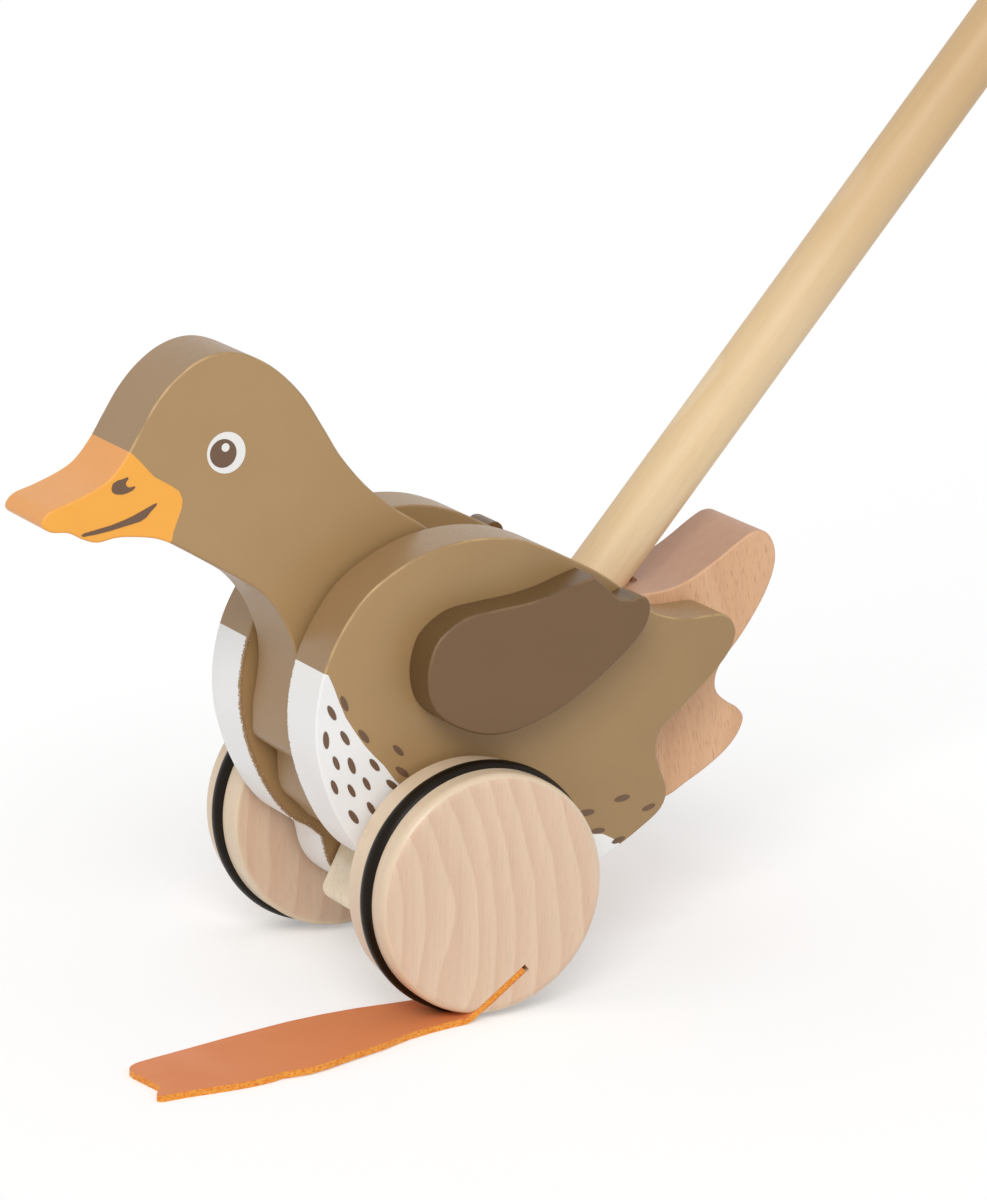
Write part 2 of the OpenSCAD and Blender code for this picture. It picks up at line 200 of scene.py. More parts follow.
finer = add(grain, "ShaderNodeVectorMath", {0: g_in["Vector"], "Scale": g_in["Fleck Scale"]},
            operation="SCALE")
fleck = noise(grain, finer.outputs[0], FLECK, detail=1)
fleck = ramp(grain, fleck, FLECK_FROM, FLECK_FULL)
on_face = math_node(grain, "SUBTRACT", 1.0, g_in["Edge"], True)
fleck = math_node(grain, "MULTIPLY", fleck, on_face)
fleck = math_node(grain, "MULTIPLY", fleck, g_in["Fleck Amount"])
tone = mix_colour(grain, band, g_in["Warm"], g_in["Pale"])
sawn = math_node(grain, "MULTIPLY", g_in["Edge"], EDGE_SHARE)
tone = mix_colour(grain, sawn, tone, g_in["Edge Tone"])
# The edge value lightens the wood towards its pale tone: a painted highlight on the rounding.
worn_and_highlit_edge = math_node(grain, "MULTIPLY", g_in["Wear And Highlight Edge"], WEAR_AND_HIGHLIGHT_SHARE)
tone = mix_colour(grain, worn_and_highlit_edge, tone, g_in["Pale"])
lift = math_node(grain, "ADD", swing(grain, fibre, -0.5, 0.5), swing(grain, streak, -0.5, 0.5))
lift = math_node(grain, "ADD", math_node(grain, "MULTIPLY", lift, g_in["Fibre"]), 1.0)
tone = add(grain, "ShaderNodeHueSaturation", {"Color": tone, "Value": lift}).outputs[0]
relief = math_node(grain, "MULTIPLY", fibre, FIBRE_RELIEF)
grain.links.new(mix_colour(grain, fleck, tone, g_in["Fleck"]), g_out["Color"])
grain.links.new(ramp(grain, fibre, 0.2, 0.8, 0.4, 0.55), g_out["Roughness"])
grain.links.new(math_node(grain, "SUBTRACT", relief, fleck), g_out["Height"])
print("group:", grain.name, len(grain.nodes), "nodes")

# %% [markdown]
# ## Painted wood
# The paint is a thin satin coat: almost even, with painted shade that darkens it towards the
# tail. It is a little deeper on the sawn edges, which soak it up, and lighter along their
# rounding, partly worn where the wood lightens it and partly a painted highlight, most on edges
# that face up and forward. The plates carry a value for the edges and one for the rounding.

# %% Paint group
CLOUD, PEEL, BREAK_SCALE = (0.045, 0.045, 0.045), (0.9, 0.9, 0.9), (0.12, 0.5, 0.12)
BREAK_FROM, BREAK_FULL, CLOUD_RELIEF = 0.36, 0.6, 0.5
BREAST_X, RUMP_X = -45.0, 85.0
paint, p_in, p_out = open_group("thin_paint", [
    ("Vector", "Vector", None), ("Paint", "Color", WHITE), ("Worn And Highlit", "Color", WHITE),
    ("Edge", "Float", 0.0), ("Edge Tone", "Color", WHITE), ("Wear And Highlight", "Float", 0.5),
    ("Wear And Highlight Edge", "Float", 0.0), ("Fade", "Float", 0.0),
])
cloud = noise(paint, p_in["Vector"], CLOUD, detail=3)
peel = noise(paint, p_in["Vector"], PEEL, detail=2)
edge_breaks = ramp(paint, noise(paint, p_in["Vector"], BREAK_SCALE, detail=3), BREAK_FROM, BREAK_FULL)
# Lighter paint along the rounding: partly wear and partly a painted highlight.
worn_and_highlit = math_node(paint, "MULTIPLY", p_in["Wear And Highlight Edge"], edge_breaks)
worn_and_highlit = math_node(paint, "MULTIPLY", worn_and_highlit, p_in["Wear And Highlight"], True)
coat = mix_colour(paint, p_in["Edge"], p_in["Paint"], p_in["Edge Tone"])
from_bill = add(paint, "ShaderNodeSeparateXYZ", {0: p_in["Vector"]}).outputs[0]
on_face = math_node(paint, "SUBTRACT", 1.0, p_in["Edge"])
# Painted shade: the faces grow darker from the breast towards the rump.
rear = math_node(paint, "MULTIPLY", ramp(paint, from_bill, BREAST_X, RUMP_X), on_face)
painted_tail_shade = math_node(paint, "MULTIPLY", rear, p_in["Fade"])
depth = math_node(paint, "SUBTRACT", swing(paint, cloud, 0.975, 1.025), painted_tail_shade)
even = add(paint, "ShaderNodeHueSaturation", {"Color": coat, "Value": depth})
relief = math_node(paint, "ADD", peel, math_node(paint, "MULTIPLY", cloud, CLOUD_RELIEF))
paint.links.new(mix_colour(paint, worn_and_highlit, even.outputs[0], p_in["Worn And Highlit"]), p_out["Color"])
paint.links.new(swing(paint, peel, 0.34, 0.44), p_out["Roughness"])
paint.links.new(relief, p_out["Height"])
print("group:", paint.name, len(paint.nodes), "nodes")

# %% [markdown]
# ## Leather
# The feet are smooth orange leather with a fine pebble on top, and their cut sides show the
# loose fibres. One group makes both, with more or less pebble and fibre.

# %% Leather group
PEBBLES, LOOSE, PATCH = 1.6, (1.0, 1.0, 2.2), (0.05, 0.05, 0.05)
PATCH_SHADE, LOOSE_SHADE, LOOSE_RELIEF = 0.35, 0.9, 3.0
hide, h_in, h_out = open_group("leather_face", [
    ("Vector", "Vector", None), ("Dye", "Color", WHITE), ("Deep", "Color", WHITE),
    ("Pebble", "Float", 1.0), ("Fibre", "Float", 0.0), ("Matt", "Float", 0.56),
])
cells = add(hide, "ShaderNodeTexVoronoi", {"Vector": h_in["Vector"], "Scale": PEBBLES}, feature="F1")
pebble = math_node(hide, "MULTIPLY", cells.outputs["Distance"], h_in["Pebble"])
loose = math_node(hide, "MULTIPLY", noise(hide, h_in["Vector"], LOOSE, detail=4), h_in["Fibre"])
patch = noise(hide, h_in["Vector"], PATCH, detail=3)
shade = math_node(hide, "MULTIPLY", patch, PATCH_SHADE)
shade = math_node(hide, "ADD", shade, ramp(hide, loose, 0.45, 0.66, 0.0, LOOSE_SHADE))
matt = math_node(hide, "ADD", h_in["Matt"], swing(hide, patch, -0.06, 0.06))
relief = math_node(hide, "ADD", pebble, math_node(hide, "MULTIPLY", loose, LOOSE_RELIEF))
hide.links.new(mix_colour(hide, shade, h_in["Dye"], h_in["Deep"]), h_out["Color"])
hide.links.new(matt, h_out["Roughness"])
hide.links.new(relief, h_out["Height"])
print("group:", hide.name, len(hide.nodes), "nodes")

# %% [markdown]
# ## Making a finish
# Each material scales the object's own coordinates to millimetres, turns them so that the
# grain runs the right way, and feeds one group into a Principled shader.

# %% Finish helper
PER_MM, BUMP_DEPTH, COAT_ROUGHNESS = (1 / MM,) * 3, 0.4 * MM, 0.2
RIM, WEAR_AND_HIGHLIGHT = ("Edge", "rim"), ("Wear And Highlight Edge", "edge")


def finish(name, group, values, turn=(0, 0, 0), at=(0, 0, 0), bump=0.05, edge=(), shine=0.5,
           coat=0.0):
    material = bpy.data.materials.new(name)
    material.use_nodes = True
    tree = material.node_tree
    shader = tree.nodes["Principled BSDF"]
    place = add(tree, "ShaderNodeTexCoord").outputs["Object"]
    place = add(tree, "ShaderNodeMapping", {
        "Vector": place, "Scale": PER_MM, "Location": at,
        "Rotation": tuple(math.radians(a) for a in turn),
    }).outputs[0]
    effect = tree.nodes.new("ShaderNodeGroup")
    effect.node_tree = group
    tree.links.new(place, effect.inputs["Vector"])
    for label, value in values.items():
        effect.inputs[label].default_value = value
    for label, attribute in edge:
        carried = add(tree, "ShaderNodeAttribute", attribute_name=attribute)
        tree.links.new(carried.outputs["Fac"], effect.inputs[label])
    tree.links.new(effect.outputs["Color"], shader.inputs["Base Color"])
    tree.links.new(effect.outputs["Roughness"], shader.inputs["Roughness"])
    relief = add(tree, "ShaderNodeBump", {
        "Height": effect.outputs["Height"], "Strength": bump, "Distance": BUMP_DEPTH,
    })
    tree.links.new(relief.outputs[0], shader.inputs["Normal"])
    shader.inputs["Specular IOR Level"].default_value = shine
    shader.inputs["Coat Weight"].default_value = coat
    shader.inputs["Coat Roughness"].default_value = COAT_ROUGHNESS
    return material


print("edge values read:", RIM[1], WEAR_AND_HIGHLIGHT[1])

# %% [markdown]
# ## Paints
# The duck has two browns, an orange bill, and small marks in dark brown and white. Colours
# are written as a paint shop gives them, from 0 to 255, and the helper makes them linear.

# %% Paints
MARK_BROWN, EYE_WHITE = srgb(112, 84, 62), srgb(244, 243, 240)
# The brown and the dark brown carry painted shade that darkens them towards the tail.
brown_paint = finish("brown_paint", paint, {
    "Paint": srgb(177, 143, 97), "Edge Tone": srgb(160, 128, 89), "Worn And Highlit": srgb(224, 188, 132),
    "Wear And Highlight": 0.65, "Fade": 0.2,
}, edge=(RIM, WEAR_AND_HIGHLIGHT))
dark_paint = finish("dark_brown_paint", paint, {
    "Paint": srgb(117, 86, 52), "Edge Tone": srgb(104, 77, 44), "Worn And Highlit": srgb(158, 124, 86),
    "Wear And Highlight": 0.4, "Fade": 0.08,
}, edge=(RIM, WEAR_AND_HIGHLIGHT))
orange_paint = finish("orange_paint", paint, {
    "Paint": srgb(254, 178, 68), "Edge Tone": srgb(240, 164, 84), "Worn And Highlit": srgb(255, 190, 90),
    "Wear And Highlight": 0.5,
}, edge=(RIM, WEAR_AND_HIGHLIGHT))
mark_paint = finish("mark_paint", paint, {"Paint": MARK_BROWN, "Worn And Highlit": MARK_BROWN})
eye_white = finish("eye_white_paint", paint, {"Paint": EYE_WHITE, "Worn And Highlit": EYE_WHITE})
print("paints:", len(bpy.data.materials))

# %% [markdown]
# ## Bare wood, leather and rubber
# The tail and wheels are reddish beech, the rod and the dowels paler wood. One group serves
# them all, with its own bands, flecks and turn for each. The rubber is the leather group with
# almost no pebble, because it only needs a dull black skin.

# %% Bare wood, leather and rubber
# The tail's light line along its rounding is a painted highlight.
tail_beech = finish("tail_beech", grain, {
    "Pale": srgb(230, 184, 144), "Warm": srgb(221, 173, 133), "Fleck": srgb(176, 120, 82),
    "Band Width": 26.0, "Bend": 1.2, "Fibre": 0.07, "Fleck Amount": 0.5, "Fleck Scale": 1.8,
    "Edge Tone": srgb(190, 150, 126),
}, turn=(0, 8, 0), edge=(RIM, WEAR_AND_HIGHLIGHT))
wheel_beech = finish("wheel_beech", grain, {
    "Pale": srgb(230, 201, 173), "Warm": srgb(222, 187, 159), "Fleck": srgb(190, 144, 112),
    "Band Width": 7.5, "Bend": 2.3, "Fibre": 0.05, "Fleck Amount": 0.15, "Fleck Scale": 1.6,
    "Bow": 0.0048, "Edge Tone": srgb(231, 209, 179),
}, turn=(0, -2, 0), at=(0, 0, -26), edge=(RIM,), coat=0.4)
# On the rod the edge tone is painted shade, laid on towards its top end.
rod_wood = finish("rod_wood", grain, {
    "Pale": srgb(239, 212, 171), "Warm": srgb(232, 201, 154), "Fleck": srgb(200, 164, 116),
    "Band Width": 30.0, "Bend": 2.5, "Fibre": 0.05, "Fleck Amount": 0.1,
    "Edge Tone": srgb(206, 170, 122),
}, turn=(0, -41.6, 0), edge=(RIM,))
pale_wood = finish("pale_wood", grain, {
    "Pale": srgb(252, 238, 212), "Warm": srgb(246, 227, 194), "Fleck": srgb(210, 178, 138),
    "Band Width": 9.0, "Bend": 1.5, "Fibre": 0.08, "Fleck Amount": 0.2,
})
peg_wood = finish("peg_wood", grain, {
    "Pale": srgb(158, 104, 72), "Warm": srgb(136, 84, 56), "Fleck": srgb(100, 58, 38),
    "Band Width": 2.0, "Bend": 1.0, "Fibre": 0.15, "Fleck Amount": 0.3,
})
leather_top = finish("leather_top", hide, {
    "Dye": srgb(234, 143, 87), "Deep": srgb(212, 120, 70), "Pebble": 0.6, "Fibre": 0.0,
}, bump=0.12)
leather_cut = finish("leather_cut", hide, {
    "Dye": srgb(255, 178, 66), "Deep": srgb(230, 120, 20), "Pebble": 0.2, "Fibre": 1.0,
}, bump=0.5)
ring_rubber = finish("ring_rubber", hide, {
    "Dye": srgb(28, 20, 9), "Deep": srgb(16, 11, 5), "Pebble": 0.1, "Fibre": 0.0, "Matt": 0.34,
}, shine=0.13)
print("finishes:", len(bpy.data.materials))

# %% [markdown]
# ## White breast paint
# The white was brushed on after the brown and ends in a ragged line along each panel's inner
# edge. The panels carry their depth from the inner face in millimetres, and noise moves the
# line. That noise reads the object's coordinates as they are, so it counts waves per metre.

# %% White breast paint
BREAST_WHITE, BROWN_BELOW = srgb(248, 248, 247), srgb(160, 127, 88)
SPIKES, SPIKE_LONGEST, LINE_SOFT = (2400, 240, 2400), 1.3, 0.1
white_paint = finish("white_paint", paint, {
    "Paint": BREAST_WHITE, "Worn And Highlit": BREAST_WHITE, "Wear And Highlight": 0.3,
}, edge=(WEAR_AND_HIGHLIGHT,))
tree = white_paint.node_tree
shader = tree.nodes["Principled BSDF"]
coat_colour = next(n for n in tree.nodes if n.type == "GROUP").outputs["Color"]
depth = add(tree, "ShaderNodeAttribute", attribute_name="depth").outputs["Fac"]
place = add(tree, "ShaderNodeTexCoord").outputs["Object"]
spikes = noise(tree, place, SPIKES, detail=3)
spikes = ramp(tree, spikes, 0.35, 0.7, 0.0, SPIKE_LONGEST)
line = math_node(tree, "SUBTRACT", depth, spikes)
under = ramp(tree, line, -LINE_SOFT, LINE_SOFT, 1.0, 0.0)
tree.links.new(mix_colour(tree, under, coat_colour, BROWN_BELOW), shader.inputs["Base Color"])
print("white breast:", len(tree.nodes), "nodes")

# %% [markdown]
# ## Outline of a plate
# Every wooden figure here is a board sawn to an outline and rounded over. The outline is read
# from the CAD node's own face, so it can't drift: of the closed runs of edges round that face, it
# is the one with the most area. Where a painted line meets the edge, a point is put in.

# %% Outline of a plate
SAME_POINT, SAME_FACE, NO_LENGTH = 2e-6, 1e-5, 1e-9
SHARPEST, CORNER_SHARE = 0.7, 0.1


def outline(node):
    bm = bmesh.new()
    bm.from_mesh(NODES[node].data)
    bmesh.ops.remove_doubles(bm, verts=bm.verts, dist=SAME_POINT)
    face_y = min(v.co.y for v in bm.verts)
    on_face = {f for f in bm.faces if all(abs(v.co.y - face_y) < SAME_FACE for v in f.verts)}
    nearby = {}
    for e in bm.edges:
        if sum(f in on_face for f in e.link_faces) == 1:
            a, b = e.verts
            nearby.setdefault(a, []).append(b)
            nearby.setdefault(b, []).append(a)
    best, area = None, 0.0
    while nearby:
        start = next(iter(nearby))
        loop, here, before = [start], start, None
        while True:
            step = [v for v in nearby[here] if v is not before]
            before, here = here, step[0]
            if here is start:
                break
            loop.append(here)
        for v in loop:
            nearby.pop(v)
        p = np.array([(v.co.x, v.co.z) for v in loop])
        q = np.roll(p, -1, 0)
        a = float((p[:, 0] * q[:, 1] - q[:, 0] * p[:, 1]).sum() / 2)
        if abs(a) > abs(area):
            best, area = p, a
    bm.free()
    return best if area > 0 else best[::-1]


def inset(loop, distance):
    before, after = np.roll(loop, 1, 0), np.roll(loop, -1, 0)
    d1, d2 = loop - before, after - loop
    d1 /= np.linalg.norm(d1, axis=1)[:, None]
    d2 /= np.linalg.norm(d2, axis=1)[:, None]
    n = np.stack([-(d1 + d2)[:, 1], (d1 + d2)[:, 0]], 1)
    n /= np.maximum(np.linalg.norm(n, axis=1), NO_LENGTH)[:, None]
    spread = np.maximum((n * np.stack([-d1[:, 1], d1[:, 0]], 1)).sum(1), SHARPEST)
    return loop + n * (distance / spread)[:, None]


def nearest(loop, x, z):
    return int(np.hypot(loop[:, 0] - x * MM, loop[:, 1] - (z * MM + AXLE.z)).argmin())


def with_point(loop, x, z):
    spot, ahead = np.array([x * MM, z * MM + AXLE.z]), np.roll(loop, -1, 0) - loop
    share = ((spot - loop) * ahead).sum(1) / (ahead ** 2).sum(1)
    foot = loop + np.clip(share, CORNER_SHARE, 1 - CORNER_SHARE)[:, None] * ahead
    i = int(np.linalg.norm(foot - spot, axis=1).argmin())
    return np.insert(loop, i + 1, foot[i], axis=0)


def marked_outline(node, first, last):
    loop = with_point(with_point(outline(node), *first), *last)
    return loop, (nearest(loop, *first), nearest(loop, *last))


BILL_TOP, BILL_LOW = (-92.4, 132.6), (-80, 104.4)
head_loop, bill_marked = marked_outline("head", BILL_TOP, BILL_LOW)
print("head outline:", len(head_loop), "points")

# %% [markdown]
# ## Making a piece
# A piece is a mesh with its materials and, where a finish reads them, values on its points. It
# is then hung on the body it rides on, and the CAD nodes it stands for are hidden.

# %% Piece helpers
FACE_WEIGHT = 80


def smooth(obj, angle=40):
    obj.data.shade_smooth()
    obj.data.set_sharp_from_angle(angle=math.radians(angle))
    weighted = obj.modifiers.new("even_faces", "WEIGHTED_NORMAL")
    weighted.keep_sharp = True
    weighted.weight = FACE_WEIGHT
    return obj


def new_piece(name, points, faces, materials, indices=None, values=None):
    mesh = bpy.data.meshes.new(name)
    mesh.from_pydata([tuple(p) for p in points], [], faces)
    for material in materials:
        mesh.materials.append(material)
    if indices is not None:
        mesh.polygons.foreach_set("material_index", indices)
    for label, data in (values or {}).items():
        mesh.attributes.new(label, "FLOAT", "POINT").data.foreach_set("value", data)
    bm = bmesh.new()
    bm.from_mesh(mesh)
    bmesh.ops.recalc_face_normals(bm, faces=bm.faces)
    bm.to_mesh(mesh)
    bm.free()
    return in_scene(name, mesh)


def as_plain_mesh(obj):
    bpy.context.view_layer.update()
    evaluated = obj.evaluated_get(bpy.context.evaluated_depsgraph_get())
    mesh = bpy.data.meshes.new_from_object(evaluated)
    obj.modifiers.clear()
    obj.data = mesh


def settle(obj, body, slot, *nodes):
    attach(obj, body)
    if nodes:
        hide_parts(*nodes)
    return obj


print("piece helpers ready")

# %% [markdown]
# ## Building a plate
# Rings of points step in over a quarter circle at each face. A Bevel modifier could do this
# too, but rings give clean strips and an edge value for wear and a painted highlight, most
# where the edge faces up and forward. A painted line across a face is a row of extra points
# that cuts the face in two, and each part takes its own paint. That keeps the paint's edge
# sharp at any distance, which a painted attribute on a few large faces could not.

# %% Plate builder
ROUND_STEPS, FACE_STRIP = 6, 0.6 * MM
WEAR_AND_LIGHT_WAY, LEAST_WEAR_AND_HIGHLIGHT, INNER_WEAR_AND_HIGHLIGHT = (-0.5, 0.85), 0.1, 0.2


def rounded_rings(loop, y_out, y_in, round_out, round_in):
    side, count = math.copysign(1, y_in - y_out), len(loop)
    # Painted highlight with wear: the edge value is largest where the edge faces up and forward.
    worn_and_lit = np.clip((loop - inset(loop, MM)) @ WEAR_AND_LIGHT_WAY / MM, LEAST_WEAR_AND_HIGHLIGHT, 1.0)
    turns = [math.radians(90 * k / ROUND_STEPS) for k in range(ROUND_STEPS + 1)]
    points, edge, rim, depth = [], [], [], []
    outer, inner = (y_out, round_out, side, 1, 1.0), (y_in, round_in, -side, -1, INNER_WEAR_AND_HIGHLIGHT)
    for start, radius, inward, order, wear_and_highlight in (outer, inner):
        stages = [(radius + FACE_STRIP, 0.0, 0.0)]
        stages += [(radius * (1 - math.sin(a)), radius * (1 - math.cos(a)), a) for a in turns]
        for step_in, step_down, a in stages[::order]:
            y = start + inward * step_down
            points += [(x, y, z) for x, z in inset(loop, step_in)]
            edge += list(math.sin(2 * a) * wear_and_highlight * worn_and_lit)
            rim += [math.sin(a)] * count
            depth += [abs(y_in - y) / MM] * count
    return points, {"edge": edge, "rim": rim, "depth": depth}


def plate(name, loop, y_out, y_in, round_out, round_in, materials, marked=(0, 0),
          lines=(None, None)):
    points, values = rounded_rings(loop, y_out, y_in, round_out, round_in)
    count = len(loop)
    last_row = len(points) - count
    first, last = marked
    span = (last - first) % count
    inside = {(first + k) % count for k in range(span)}
    faces, indices = [], []
    for row in range(0, last_row, count):
        for i in range(count):
            a, b = row + i, row + (i + 1) % count
            faces.append((a, b, b + count, a + count))
            indices.append(int(i in inside))
    for base, y, line in ((0, y_out, lines[0]), (last_row, y_in, lines[1])):
        if line is None:
            faces.append([base + i for i in range(count)])
            indices.append(0)
            continue
        added = list(range(len(points), len(points) + len(line)))
        points += [(x * MM, y, z * MM + AXLE.z) for x, z in line]
        for label, value in (("edge", 0.0), ("rim", 0.0), ("depth", abs(y_in - y) / MM)):
            values[label] += [value] * len(line)
        faces.append([base + (first + k) % count for k in range(span + 1)] + added[::-1])
        faces.append([base + (last + k) % count for k in range(count - span + 1)] + added)
        indices += [1, 0]
    return smooth(new_piece(name, points, faces, materials, indices, values))


print("steps of a rounding:", ROUND_STEPS)

# %% [markdown]
# ## Head and bill
# The head is one board with the bill painted orange. The orange ends in a wavy line on each
# face and straight across the top edge. Its edges are rounded over by just under 1 mm.

# %% Head and bill
HEAD_ROUND = 0.7 * MM
bill_line = [
    (-90.6, 131), (-89, 129.4), (-86.6, 126.6), (-84.6, 124.4), (-82, 122.8), (-79.4, 121.2),
    (-77, 119.4), (-76, 117), (-76.2, 114.6), (-77.2, 112), (-78.2, 109.6), (-79, 107.6),
]
head_low, head_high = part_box("head")
duck_head = plate("duck_head", head_loop, head_low.y, head_high.y, HEAD_ROUND, HEAD_ROUND,
                  [brown_paint, orange_paint], bill_marked, (bill_line, bill_line))
settle(duck_head, "head", "body_paint", "head")
print("head faces:", len(duck_head.data.polygons))

# %% [markdown]
# ## Side panels
# The two panels are alike, and the right one sits a little lower. The breast and belly are
# white on the outer face and round the edge, and the inner face stays brown.

# %% Side panels
PANEL_ROUND, PANEL_INNER_ROUND = 0.7 * MM, 0.6 * MM
WHITE_FRONT, WHITE_REAR = (-41.5, 65.8), (55.7, 0.5)
breast_line = [
    (-39.2, 62), (-37.2, 56.6), (-35.3, 52.1), (-31.8, 46.6), (-29, 42.6), (-26.2, 39.3),
    (-23, 36), (-19.4, 31), (-8, 20), (6, 12.5), (20, 9), (33, 7.4), (46, 5.4), (50, 4.6), (53, 2.9),
]
top_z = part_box("left_side_panel")[1].z
for name in ("left", "right"):
    low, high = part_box(name + "_side_panel")
    near_y, far_y = sorted((low.y, high.y), key=abs)
    drop = (top_z - high.z) / MM
    front, rear, *line = [(x, z - drop) for x, z in (WHITE_FRONT, WHITE_REAR, *breast_line)]
    panel_loop, marked = marked_outline(name + "_side_panel", front, rear)
    panel = plate(name + "_panel", panel_loop, far_y, near_y, PANEL_ROUND, PANEL_INNER_ROUND,
                  [brown_paint, white_paint], marked, (line, None))
    settle(panel, "body", "body_paint", name + "_side_panel")
    print(panel.name, "faces:", len(panel.data.polygons))

# %% [markdown]
# ## Wings and tail
# The wings are boards in a darker brown, and the right one is glued on at a small slope. The
# tail plate is bare beech, so its grain shows, with fine flecks standing almost upright.

# %% Wings and tail
WING_ROUND, WING_INNER_ROUND, TAIL_ROUND = 0.8 * MM, 0.3 * MM, 0.8 * MM
for name in ("left", "right"):
    wing_loop = outline(name + "_wing")
    near_y, far_y = sorted((corner.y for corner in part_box(name + "_wing")), key=abs)
    wing = plate(name + "_wing_board", wing_loop, far_y, near_y, WING_ROUND, WING_INNER_ROUND,
                 [dark_paint])
    settle(wing, "body", "wing_paint", name + "_wing")
low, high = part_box("tail_core")
tail = plate("tail_board", outline("tail_core"), low.y, high.y, TAIL_ROUND, TAIL_ROUND, [tail_beech])
settle(tail, "body", "tail_wood", "tail_core")
print("wing outline:", len(wing_loop), "tail faces:", len(tail.data.polygons))

# %% [markdown]
# ## Cam
# The pale block between the panels is an egg-shaped cam glued on the axle. It is one more
# plate, so the plate builder makes it too.

# %% Cam
CAM_ROUND = 0.8 * MM
low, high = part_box("cam")
cam = plate("cam_block", outline("cam"), low.y, high.y, CAM_ROUND, CAM_ROUND, [pale_wood])
settle(cam, "wheelset", "cam_wood", "cam")
print("cam faces:", len(cam.data.polygons))

# %% [markdown]
# ## Turned pieces
# The wheels, rings and rod are turned on a lathe, so each is a profile spun round its axis. A
# Screw modifier could spin it, but rows of points can carry a value for the finish as well.

# %% Lathe helper
def spun(name, profile, segments, place, material, rim=lambda r, h: 0.0):
    points, faces, rows = [], [], []
    for r, h in profile:
        if r == 0:
            rows.append([len(points)])
            points.append(place @ Vector((0, 0, h)))
            continue
        rows.append(list(range(len(points), len(points) + segments)))
        for k in range(segments):
            a = 2 * math.pi * k / segments
            points.append(place @ Vector((r * math.cos(a), r * math.sin(a), h)))
    for low_row, high_row in zip(rows, rows[1:]):
        for k in range(segments):
            n = (k + 1) % segments
            corner = [low_row[k % len(low_row)], low_row[n % len(low_row)],
                      high_row[n % len(high_row)], high_row[k % len(high_row)]]
            faces.append(list(dict.fromkeys(corner)))
    shade = [rim(r, h) for row, (r, h) in zip(rows, profile) for _ in row]
    return new_piece(name, points, faces, [material], None, {"rim": shade})


def bend(centre, radius, start, end, steps):
    turns = [math.radians(start + (end - start) * k / steps) for k in range(steps + 1)]
    return [(centre[0] + radius * math.cos(a), centre[1] + radius * math.sin(a)) for a in turns]


print("lathe ready")

# %% [markdown]
# ## Wheels
# The rim is rounded over and has a groove for the rubber ring. Its sizes come from the CAD
# model's boxes. The right wheel is the left one, half a turn round the axle and mirrored.

# %% Wheel profile
wheel_low, wheel_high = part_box("left_wheel")
WHEEL_R, WHEEL_T = (wheel_high.z - wheel_low.z) / 2, wheel_high.y - wheel_low.y
TRACK = -(wheel_low.y + wheel_high.y) / 2
ring_low, ring_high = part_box("left_tyre")
CORD_R = (ring_high.y - ring_low.y) / 2
RING_R = (ring_high.z - ring_low.z) / 2 - CORD_R
RING_OUT = -(ring_low.y + ring_high.y) / 2 - TRACK
WHEEL_SIDES, HUB_R, FACE_BORDER, TREAD_DEPTH = 168, 12 * MM, 1 * MM, 1.5 * MM
half, round_in, round_out = WHEEL_T / 2, 0.8 * MM, 3 * MM
opening = math.degrees(math.acos((WHEEL_R - RING_R) / CORD_R))
profile = [(0, -half), (HUB_R, -half), (WHEEL_R - round_in - FACE_BORDER, -half)]
profile += bend((WHEEL_R - round_in, -half + round_in), round_in, -90, 0, steps=8)
profile += bend((RING_R, RING_OUT), CORD_R, 360 - opening, opening, steps=16)
profile += bend((WHEEL_R - round_out, half - round_out), round_out, 0, 90, steps=10)
profile += [(WHEEL_R - round_out - FACE_BORDER, half), (HUB_R, half), (0, half)]


def on_tread(r, h):
    return float(r > WHEEL_R - TREAD_DEPTH)


WHEEL_CENTRE = AXLE + Vector((0, -TRACK, 0))
left_place = Matrix.Translation(WHEEL_CENTRE) @ Matrix.Rotation(math.radians(90), 4, "X")
left_wheel = spun("left_turned_wheel", profile, WHEEL_SIDES, left_place, wheel_beech, on_tread)
print("wheel radius:", round(WHEEL_R, 5), "profile points:", len(profile))

# %% [markdown]
# ## Saw cut
# A saw cut runs into each wheel from the rim and takes the foot's tongue. It could be built
# into the profile's mesh, but a Boolean with a plain slab takes it out in one step.

# %% Saw cut
KERF_TILT, KERF_OFF = math.radians(35.5), 25.3 * MM
KERF_START, KERF_END, KERF_HALF, SLAB_HALF = 4.8 * MM, 60 * MM, 1.1 * MM, 20 * MM
kerf_along = Vector((-math.cos(KERF_TILT), 0, -math.sin(KERF_TILT)))
kerf_side = Vector((math.sin(KERF_TILT), 0, -math.cos(KERF_TILT)))
SLAB_FACES = [(0, 1, 3, 2), (4, 6, 7, 5), (0, 4, 5, 1), (2, 3, 7, 6), (0, 2, 6, 4), (1, 5, 7, 3)]
corners = [
    WHEEL_CENTRE + kerf_along * t + kerf_side * (KERF_OFF + w) + Vector((0, y, 0))
    for t in (KERF_START, KERF_END) for w in (-KERF_HALF, KERF_HALF) for y in (-SLAB_HALF, SLAB_HALF)
]
saw = new_piece("saw_cut", corners, SLAB_FACES, [])
cut = left_wheel.modifiers.new("saw_cut", "BOOLEAN")
cut.object, cut.solver = saw, "EXACT"
as_plain_mesh(left_wheel)
bpy.data.objects.remove(saw)


def half_turned(obj, name):
    mesh = obj.data.copy()
    mesh.transform(Matrix.Translation(AXLE * 2) @ Matrix.Diagonal((-1, -1, -1, 1)))
    mesh.flip_normals()
    return in_scene(name, mesh)


right_wheel = half_turned(left_wheel, "right_turned_wheel")
for wheel, name in ((left_wheel, "left"), (right_wheel, "right")):
    smooth(wheel, angle=30)
    settle(wheel, "wheelset", "wheel_wood", name + "_wheel")
print("wheel faces:", len(left_wheel.data.polygons))

